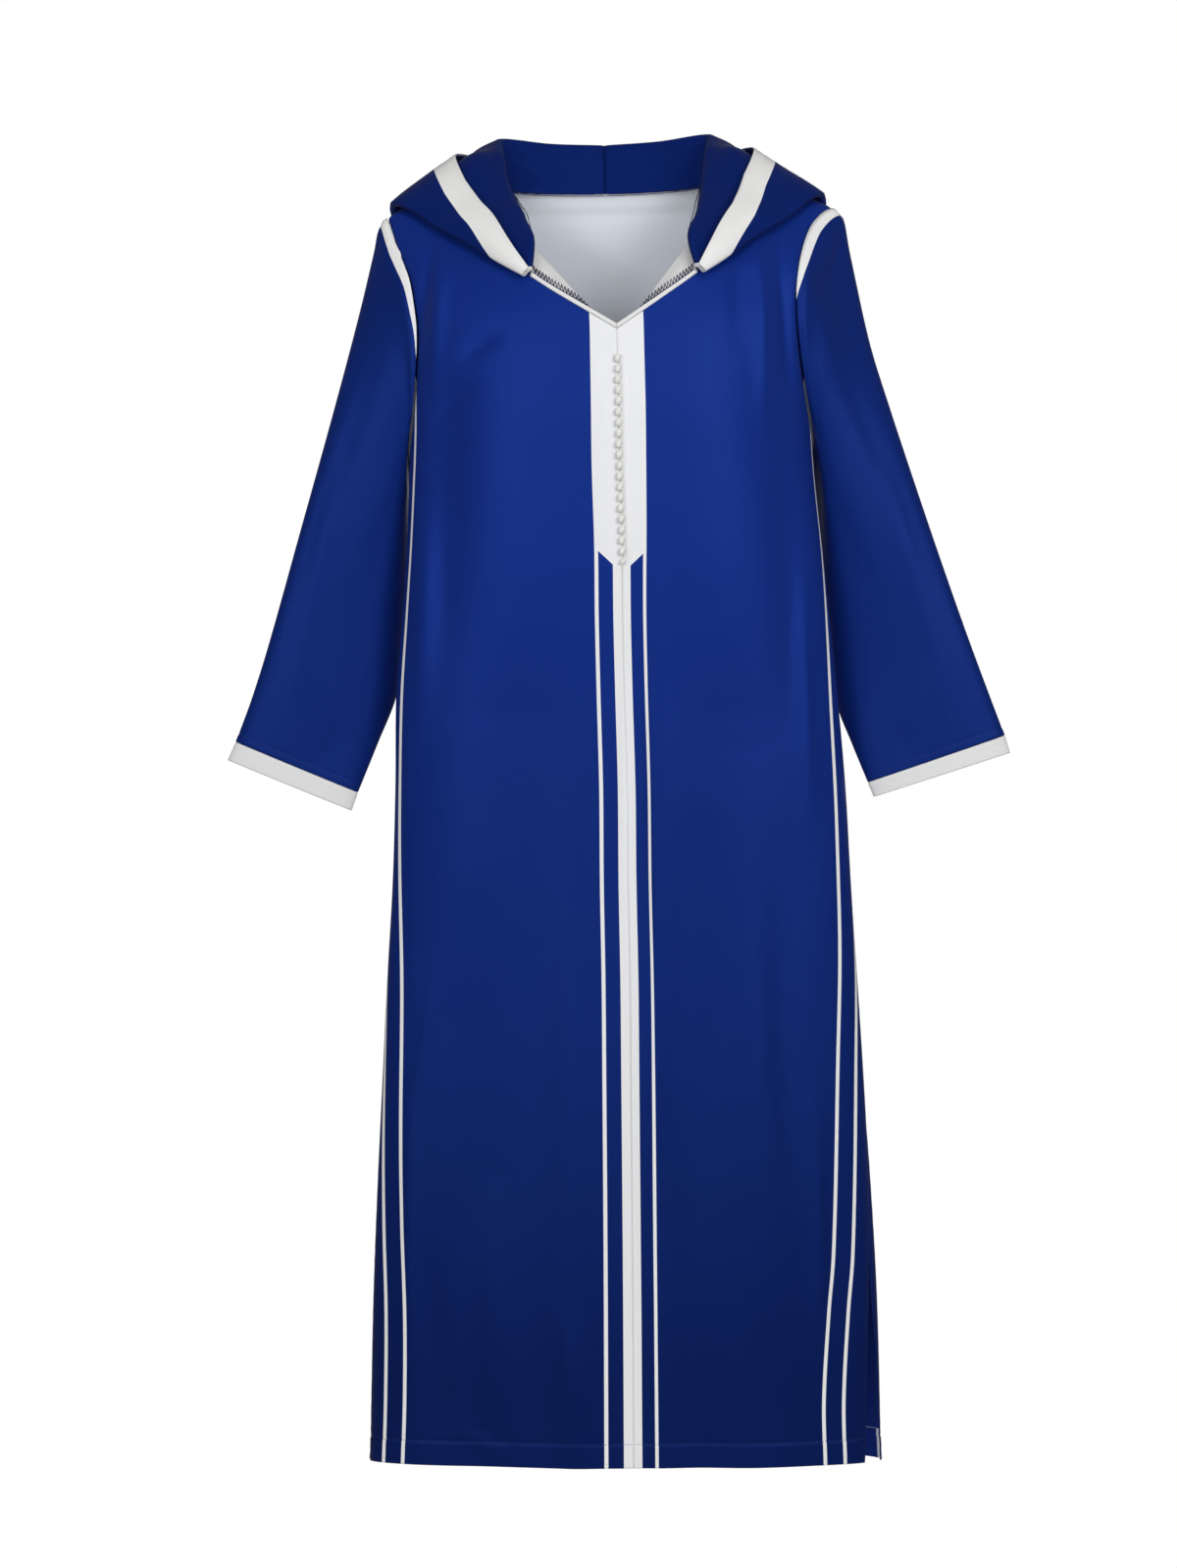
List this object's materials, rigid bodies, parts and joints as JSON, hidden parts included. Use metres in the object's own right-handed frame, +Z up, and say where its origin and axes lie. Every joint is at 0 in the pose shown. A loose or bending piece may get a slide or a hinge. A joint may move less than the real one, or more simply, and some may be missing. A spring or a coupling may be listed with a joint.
{
  "type": "hooded djellaba robe",
  "caption": "Ankle-length hooded robe with long set-in sleeves, a front neck slit above a row of knot buttons, and side vents, filled out as if worn.",
  "frame": {"origin": "between the two shoulder tips, at their mean height, where the wearer's shoulders carry the robe", "axes": "+Z up; the front faces -Y; +X runs from the robe's left, as seen from the front, to its right"},
  "size_m": [0.849, 0.2549, 1.4422],
  "materials": {
    "blue_cloth": "smooth royal blue woven polyester with a slight sheen and printed white stripes",
    "white_cloth": "the same cloth in white, for cuffs, slit binding and facing",
    "button_cloth": "off-white knotted cord"
  },
  "bodies": {
    "root": {"back": "blue_cloth", "front_left": "blue_cloth", "sleeve_left": "blue_cloth", "cuff_left": "white_cloth", "hood_outer_left": "blue_cloth", "hood_lining_left": "blue_cloth", "slit_binding_left": "white_cloth", "slit_facing_left": "white_cloth", "front_right": "blue_cloth", "sleeve_right": "blue_cloth", "cuff_right": "white_cloth", "hood_outer_right": "blue_cloth", "hood_lining_right": "blue_cloth", "slit_binding_right": "white_cloth", "slit_facing_right": "white_cloth", "button_01": "button_cloth", "button_02": "button_cloth", "button_03": "button_cloth", "button_04": "button_cloth", "button_05": "button_cloth", "button_06": "button_cloth", "button_07": "button_cloth", "button_08": "button_cloth", "button_09": "button_cloth", "button_10": "button_cloth", "button_11": "button_cloth", "button_12": "button_cloth", "button_13": "button_cloth", "button_14": "button_cloth", "button_15": "button_cloth", "button_16": "button_cloth", "button_17": "button_cloth", "button_18": "button_cloth", "button_19": "button_cloth", "button_20": "button_cloth"}
  },
  "joints": []
}
